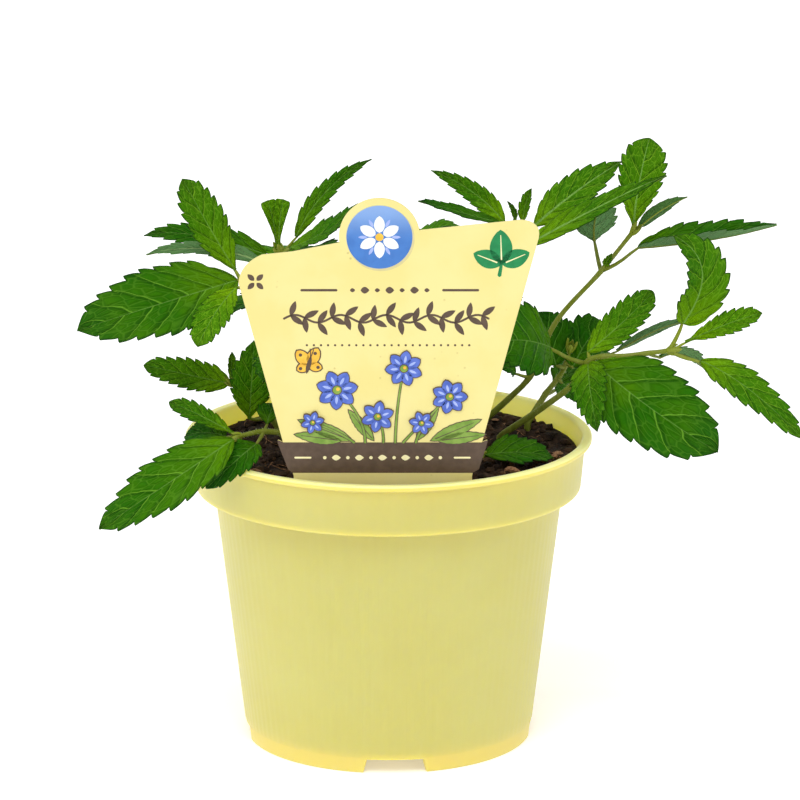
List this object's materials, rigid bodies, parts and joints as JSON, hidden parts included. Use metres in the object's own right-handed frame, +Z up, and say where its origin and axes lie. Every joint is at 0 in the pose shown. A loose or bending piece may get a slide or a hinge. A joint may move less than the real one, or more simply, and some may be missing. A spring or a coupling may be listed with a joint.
{
  "type": "potted pepper sage",
  "caption": "Young sage plant with toothed green leaves in a round plastic pot of soil, with a plant label pushed in behind the front rim.",
  "frame": {"origin": "middle of the whole object's bounding box, on the surface it stands on; the pot's axis stands 15.7 mm to the -X side of it and 7 mm to the -Y side", "axes": "+Z up along the pot's axis; the label faces -Y, and +X is to the right of someone who looks at the label"},
  "size_m": [0.2098, 0.134, 0.1785],
  "materials": {
    "pot": "satin moulded, pale yellow",
    "soil": "loose, dark, crumbly",
    "label": "smooth printed sheet",
    "leaf": "finely wrinkled, softly glossy"
  },
  "bodies": {
    "root": {"pot": "pot", "soil": "soil", "label": "label", "stem_left_high": "leaf", "stem_left_tip": "leaf", "stem_left_low": "leaf", "stem_left_middle": "leaf", "stem_right_high": "leaf", "stem_middle_high": "leaf", "stem_right_low": "leaf", "stem_right_inner": "leaf", "stem_front_low": "leaf", "stem_back_left": "leaf", "stem_back_middle": "leaf", "stem_back_right": "leaf"}
  },
  "joints": []
}
